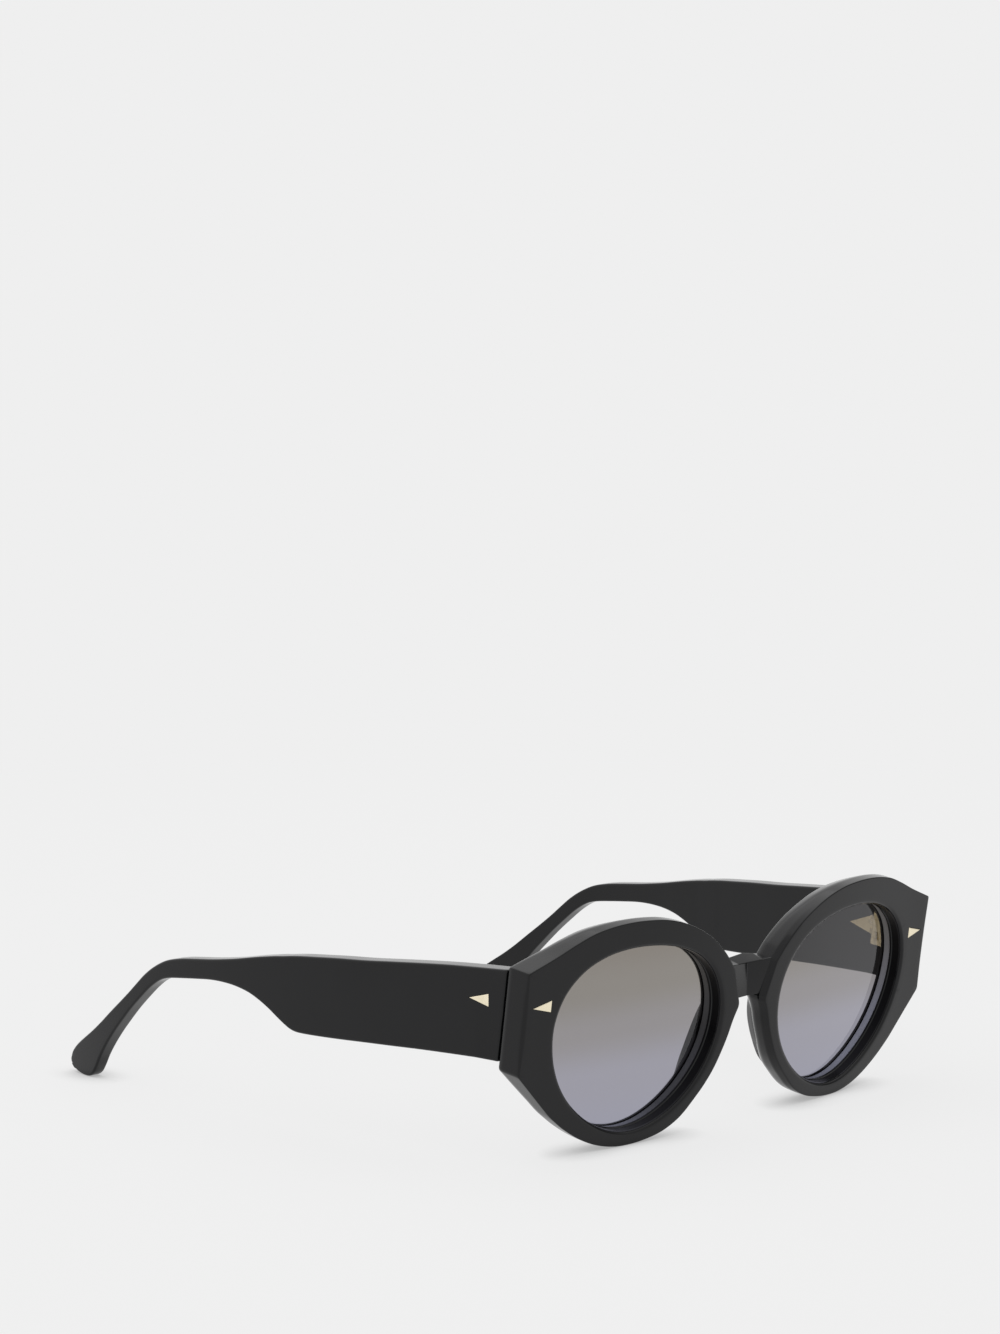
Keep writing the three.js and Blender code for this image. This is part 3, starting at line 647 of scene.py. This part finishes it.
def steel(name, base=(0.56, 0.55, 0.53), rough=0.34):
    m, nt, N, L, p = principled(name, base, rough, metal=1.0)
    tc = N.new("ShaderNodeTexCoord").outputs["Object"]
    n = noise(N, L, tc, 3000.0, 2.0)
    L.new(map_range(N, L, n.outputs["Fac"], 0.3, 0.7, rough - 0.08, rough + 0.1), p.inputs["Roughness"])
    mixc = N.new("ShaderNodeMix")
    mixc.data_type = "RGBA"
    mixc.inputs["A"].default_value = (*[c * 0.85 for c in base], 1)
    mixc.inputs["B"].default_value = (*[min(1, c * 1.1) for c in base], 1)
    L.new(n.outputs["Fac"], mixc.inputs["Factor"])
    L.new(mixc.outputs["Result"], p.inputs["Base Color"])
    return m


LENS_TINT = [(0.0, (0.60, 0.60, 0.66)), (0.30, (0.60, 0.595, 0.64)), (0.52, (0.555, 0.54, 0.545)), (0.72, (0.52, 0.50, 0.475)), (1.0, (0.485, 0.455, 0.42))]


def lens_glass(name):
    """Gradient tint: brown-grey at the top, lilac grey below, with a clear glossy surface."""
    m = bpy.data.materials.new(name)
    nt, N, L = nodes_of(m)
    for n in list(N):
        if n.type != "OUTPUT_MATERIAL":
            N.remove(n)
    out = next(n for n in N if n.type == "OUTPUT_MATERIAL")
    tc = N.new("ShaderNodeTexCoord").outputs["Object"]
    sep = N.new("ShaderNodeSeparateXYZ")
    L.new(tc, sep.inputs[0])
    h = map_range(N, L, sep.outputs["Z"], 0.0015, 0.0480, 0.0, 1.0)
    ramp = N.new("ShaderNodeValToRGB")
    ramp.color_ramp.interpolation = "EASE"
    e = ramp.color_ramp.elements
    for i, (pos, c) in enumerate(LENS_TINT):
        el = e[i] if i < 2 else e.new(pos)
        el.position, el.color = pos, (*c, 1)
    L.new(h, ramp.inputs["Fac"])
    tr = N.new("ShaderNodeBsdfTransparent")
    L.new(ramp.outputs["Color"], tr.inputs["Color"])
    gl = N.new("ShaderNodeBsdfGlossy")
    gl.inputs["Roughness"].default_value = 0.03
    gl.inputs["Color"].default_value = (0.93, 0.93, 0.96, 1)
    fr = N.new("ShaderNodeFresnel")
    fr.inputs["IOR"].default_value = 1.5
    ge = N.new("ShaderNodeNewGeometry")
    outer = N.new("ShaderNodeMath")
    outer.operation = "SUBTRACT"
    outer.inputs[0].default_value = 1.0
    L.new(ge.outputs["Backfacing"], outer.inputs[1])
    share = N.new("ShaderNodeMath")
    share.operation = "MULTIPLY"
    L.new(fr.outputs[0], share.inputs[0])
    L.new(outer.outputs[0], share.inputs[1])
    mix = N.new("ShaderNodeMixShader")
    L.new(share.outputs[0], mix.inputs[0])
    L.new(tr.outputs[0], mix.inputs[1])
    L.new(gl.outputs[0], mix.inputs[2])
    L.new(mix.outputs[0], out.inputs["Surface"])
    return m


def ground_edge(name):
    """The lens's ground edge: matt, with fine grinding marks. Its colour carries painted shade, dark at the nose side
    where the black rim and pad close it in, and painted light, pale at the temple side and the top.
    """
    m, nt, N, L, p = principled(name, (0.5, 0.52, 0.56), 0.62, ior=1.5, spec=0.3)
    tc = N.new("ShaderNodeTexCoord").outputs["Object"]
    n = noise(N, L, tc, 4200.0, 2.0)
    L.new(map_range(N, L, n.outputs["Fac"], 0.3, 0.7, 0.55, 0.7), p.inputs["Roughness"])
    mixc = N.new("ShaderNodeMix")
    mixc.data_type = "RGBA"
    mixc.inputs["A"].default_value = (0.44, 0.46, 0.50, 1)
    mixc.inputs["B"].default_value = (0.56, 0.58, 0.63, 1)
    L.new(n.outputs["Fac"], mixc.inputs["Factor"])
    # painted light and shade: a mask built from the distance out from the nose and from the height lifts the colour
    # from a painted shade grey to the pale edge colour
    sep = N.new("ShaderNodeSeparateXYZ")
    L.new(tc, sep.inputs[0])
    side = N.new("ShaderNodeMath")
    side.operation = "ABSOLUTE"
    L.new(sep.outputs["X"], side.inputs[0])
    out = map_range(N, L, side.outputs[0], 0.022, 0.044, 0.0, 1.0)
    top = map_range(N, L, sep.outputs["Z"], 0.022, 0.042, 0.0, 0.55)
    painted_light_share = N.new("ShaderNodeMath")
    painted_light_share.operation = "MAXIMUM"
    L.new(out, painted_light_share.inputs[0])
    L.new(top, painted_light_share.inputs[1])
    # mixes the painted shade grey with the pale ground-glass colour
    tone = N.new("ShaderNodeMix")
    tone.data_type = "RGBA"
    tone.inputs["A"].default_value = (0.115, 0.118, 0.118, 1)
    L.new(mixc.outputs["Result"], tone.inputs["B"])
    L.new(painted_light_share.outputs[0], tone.inputs["Factor"])
    L.new(tone.outputs["Result"], p.inputs["Base Color"])
    return m


def set_mat(ob, *mats):
    idx = [p.material_index for p in ob.data.polygons]
    ob.data.materials.clear()
    for m in mats:
        ob.data.materials.append(m)
    ob.data.polygons.foreach_set("material_index", [i if i < len(mats) else 0 for i in idx])


M_FRONT = acetate("acetate_front_mat")
# painted shade: the front acetate again with half the base colour and a weaker gloss, for the opening's inner wall in
# front of the lens
M_WALL_SHADE = acetate("acetate_wall_painted_shade_mat", base=(0.0022, 0.0022, 0.0026), rough=0.3, spec=0.10)
M_EDGE = ground_edge("lens_edge_mat")
M_TEMPLE = acetate("acetate_temple_mat", rough=0.12)
M_PAD = acetate("acetate_pad_mat", base=(0.008, 0.008, 0.009), rough=0.12)
M_LENS = lens_glass("lens_mat")
M_GOLD = gold("hinge_gold_mat", base=(0.95, 0.83, 0.56), rough=0.36)
M_RIVET = gold("rivet_gold_mat", base=(0.92, 0.83, 0.60), rough=0.20)
M_SCREW = steel("screw_steel_mat")
M_WIRE = steel("core_wire_mat", base=(0.50, 0.50, 0.51), rough=0.42)

# ------------------------------------------------------------------ pieces
front = make_front()
set_mat(front, M_FRONT, M_WALL_SHADE)
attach(front, "front"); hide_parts("frame_front")


def pair(ob, base, mat, body_l, body_r, node):
    ob.name = ob.data.name = base + "_l"
    other = mirror_copy(ob, base + "_r")
    for o, b, s in ((ob, body_l, "left"), (other, body_r, "right")):
        set_mat(o, *(mat if isinstance(mat, tuple) else (mat,)))
        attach(o, b)
        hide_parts(f"{node}_{s}")
    return ob, other


pair(make_lens(), "lens", (M_LENS, M_EDGE), "front", "front", "lens")
pair(make_pad(), "pad", M_PAD, "front", "front", "nose_pad")
pair(make_temple(), "temple", M_TEMPLE, "temple_left_arm", "temple_right_arm", "temple")
pair(make_rivet(RIVET_F, FRONT_PIN, FT + 0.81, front_map, "rf"), "front_rivet_head", M_RIVET, "front", "front", "front_rivet")
pair(make_rivet(RIVET_T, TEMPLE_PIN, 5.61, temple_map, "rt"), "temple_rivet_head", M_RIVET, "temple_left_arm", "temple_right_arm", "temple_rivet")

for n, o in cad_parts.items():
    mat = None
    if n.startswith(("hinge_front_leaf", "hinge_temple_leaf")):
        mat = M_GOLD
    elif n.startswith("hinge_screw"):
        mat = M_SCREW
    elif n.startswith("core_wire"):
        mat = M_WIRE
    if mat is None:
        continue
    o.data.materials.clear()
    o.data.materials.append(mat)
    w = o.modifiers.new("weld", "WELD")
    w.merge_threshold = 2e-6
    if not n.startswith("core_wire"):
        b = o.modifiers.new("bevel", "BEVEL")
        b.width = 0.00009
        b.segments = 2
        b.limit_method = "ANGLE"
        b.angle_limit = math.radians(35)
        b.use_clamp_overlap = True
    for p in o.data.polygons:
        p.use_smooth = True
    wn = o.modifiers.new("wn", "WEIGHTED_NORMAL")
    wn.weight = 60

# ------------------------------------------------------------------ camera
AZ, EL, ROLL, DIST, F_PX = (math.radians(-46.302), math.radians(6.169), math.radians(0.111), 0.772204, 3792.53)
target = Vector((-0.076414, -0.069786, 0.106694))
back = Vector((math.sin(AZ) * math.cos(EL), -math.cos(AZ) * math.cos(EL), math.sin(EL)))
pos = target + back * DIST
fwd = -back
right = fwd.cross(Vector((0, 0, 1))).normalized()
up = right.cross(fwd)
r2 = right * math.cos(ROLL) + up * math.sin(ROLL)
u2 = -right * math.sin(ROLL) + up * math.cos(ROLL)
cam_data = bpy.data.cameras.new("camera")
cam = bpy.data.objects.new("camera", cam_data)
bpy.context.scene.collection.objects.link(cam)
cam.matrix_world = Matrix(((r2.x, u2.x, back.x, pos.x), (r2.y, u2.y, back.y, pos.y), (r2.z, u2.z, back.z, pos.z), (0, 0, 0, 1)))
cam_data.sensor_fit = "AUTO"
cam_data.sensor_width = 36.0
cam_data.lens = F_PX * 36.0 / 1334.0
cam_data.clip_start, cam_data.clip_end = 0.01, 50.0
cam_data.dof.use_dof = False
bpy.context.scene.camera = cam

# ------------------------------------------------------------------ floor and light
PALE = 0.863
fm = bpy.data.materials.new("floor_mat")
nt, N, L = nodes_of(fm)
for n in list(N):
    if n.type != "OUTPUT_MATERIAL":
        N.remove(n)
out = next(n for n in N if n.type == "OUTPUT_MATERIAL")
geo = N.new("ShaderNodeTexCoord").outputs["Object"]
ln = N.new("ShaderNodeVectorMath"); ln.operation = "LENGTH"
L.new(geo, ln.inputs[0])
fade = map_range(N, L, ln.outputs["Value"], 0.16, 0.55, 0.87, 1.0)
dif = N.new("ShaderNodeBsdfDiffuse"); dif.inputs["Color"].default_value = (0.84, 0.84, 0.84, 1)
emi = N.new("ShaderNodeEmission"); emi.inputs["Color"].default_value = (1, 1, 1, 1); emi.inputs["Strength"].default_value = PALE
# painted contact shadow: ambient occlusion darkens both the emission and the diffuse colour of the floor close under
# the frame
ao = N.new("ShaderNodeAmbientOcclusion")
ao.samples = 8
ao.inputs["Distance"].default_value = 0.0075
painted_contact_shadow = map_range(N, L, ao.outputs["AO"], 0.2, 0.93, 0.52, 1.0)
for sh, c in ((dif, 0.84), (emi, 1.0)):
    tint = N.new("ShaderNodeMix")
    tint.data_type = "RGBA"
    tint.inputs["A"].default_value = (0, 0, 0, 1)
    tint.inputs["B"].default_value = (c, c, c, 1)
    L.new(painted_contact_shadow, tint.inputs["Factor"])
    L.new(tint.outputs["Result"], sh.inputs["Color"])
mx = N.new("ShaderNodeMixShader")
L.new(fade, mx.inputs[0]); L.new(dif.outputs[0], mx.inputs[1]); L.new(emi.outputs[0], mx.inputs[2])
L.new(mx.outputs[0], out.inputs["Surface"])
segs = 96
fv = [(0.0, 0.0, 0.0)]
ff = []
radii = [0.1, 0.25, 0.5, 1.0, 2.0, 4.0, 8.0, 16.0]
for r in radii:
    fv += [(r * math.cos(2 * math.pi * i / segs), r * math.sin(2 * math.pi * i / segs), 0.0) for i in range(segs)]
for i in range(segs):
    ff.append((0, 1 + i, 1 + (i + 1) % segs))
    for k in range(len(radii) - 1):
        a, b = 1 + k * segs, 1 + (k + 1) * segs
        ff.append((a + i, b + i, b + (i + 1) % segs, a + (i + 1) % segs))
floor = mesh_object("floor", fv, ff)
floor.location.z = float(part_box("frame_front")[0].z) * 0.0 - 0.00002
set_mat(floor, fm)

world = bpy.data.worlds.new("world")
bpy.context.scene.world = world
world.use_nodes = True
wt = world.node_tree
WN, WL = wt.nodes, wt.links
for n in list(WN):
    if n.type != "OUTPUT_WORLD":
        WN.remove(n)
wout = next(n for n in WN if n.type == "OUTPUT_WORLD")
wc = WN.new("ShaderNodeTexCoord").outputs["Generated"]
wsep = WN.new("ShaderNodeSeparateXYZ")
WL.new(wc, wsep.inputs[0])
dirv = WN.new("ShaderNodeVectorMath"); dirv.operation = "DOT_PRODUCT"
dirv.inputs[1].default_value = (-0.15, 0.55, 0.82)
WL.new(wc, dirv.inputs[0])
wr = WN.new("ShaderNodeMapRange")
wr.inputs["From Min"].default_value, wr.inputs["From Max"].default_value = -1.0, 1.0
wr.inputs["To Min"].default_value, wr.inputs["To Max"].default_value = 0.50, 1.10
WL.new(dirv.outputs["Value"], wr.inputs["Value"])
bg1 = WN.new("ShaderNodeBackground"); bg1.inputs["Color"].default_value = (1, 1, 1, 1)
# a dark card stands to the right of the front
cardv = WN.new("ShaderNodeVectorMath"); cardv.operation = "DOT_PRODUCT"
cardv.inputs[1].default_value = (0.952, -0.301, 0.05)
WL.new(wc, cardv.inputs[0])
card = WN.new("ShaderNodeMapRange")
card.interpolation_type = "SMOOTHSTEP"
card.inputs["From Min"].default_value, card.inputs["From Max"].default_value = 0.80, 0.97
card.inputs["To Min"].default_value, card.inputs["To Max"].default_value = 1.0, 0.30
WL.new(cardv.outputs["Value"], card.inputs["Value"])
both = WN.new("ShaderNodeMath"); both.operation = "MULTIPLY"
WL.new(wr.outputs["Result"], both.inputs[0]); WL.new(card.outputs["Result"], both.inputs[1])
WL.new(both.outputs[0], bg1.inputs["Strength"])
bg2 = WN.new("ShaderNodeBackground"); bg2.inputs["Color"].default_value = (1, 1, 1, 1); bg2.inputs["Strength"].default_value = PALE
lp = WN.new("ShaderNodeLightPath")
wm = WN.new("ShaderNodeMixShader")
WL.new(lp.outputs["Is Camera Ray"], wm.inputs[0]); WL.new(bg1.outputs[0], wm.inputs[1]); WL.new(bg2.outputs[0], wm.inputs[2])
WL.new(wm.outputs[0], wout.inputs["Surface"])


def area(name, loc, look, size, power, color=(1, 1, 1)):
    d = bpy.data.lights.new(name, "AREA")
    d.shape = "RECTANGLE"
    d.size, d.size_y = size
    d.energy = power
    d.color = color
    o = bpy.data.objects.new(name, d)
    o.location = loc
    o.rotation_mode = "QUATERNION"
    o.rotation_quaternion = (Vector(look) - Vector(loc)).to_track_quat("-Z", "Y")
    bpy.context.scene.collection.objects.link(o)
    return o


area("key", (0.15, 0.25, 1.3), (0, 0, 0.02), (1.6, 1.6), 4.0)

sc = bpy.context.scene
sc.view_settings.view_transform = "Standard"
sc.view_settings.look = "None"
sc.view_settings.exposure = 0.0
sc.view_settings.gamma = 1.0
sc.cycles.use_denoising = True
sc.cycles.transparent_max_bounces = 16
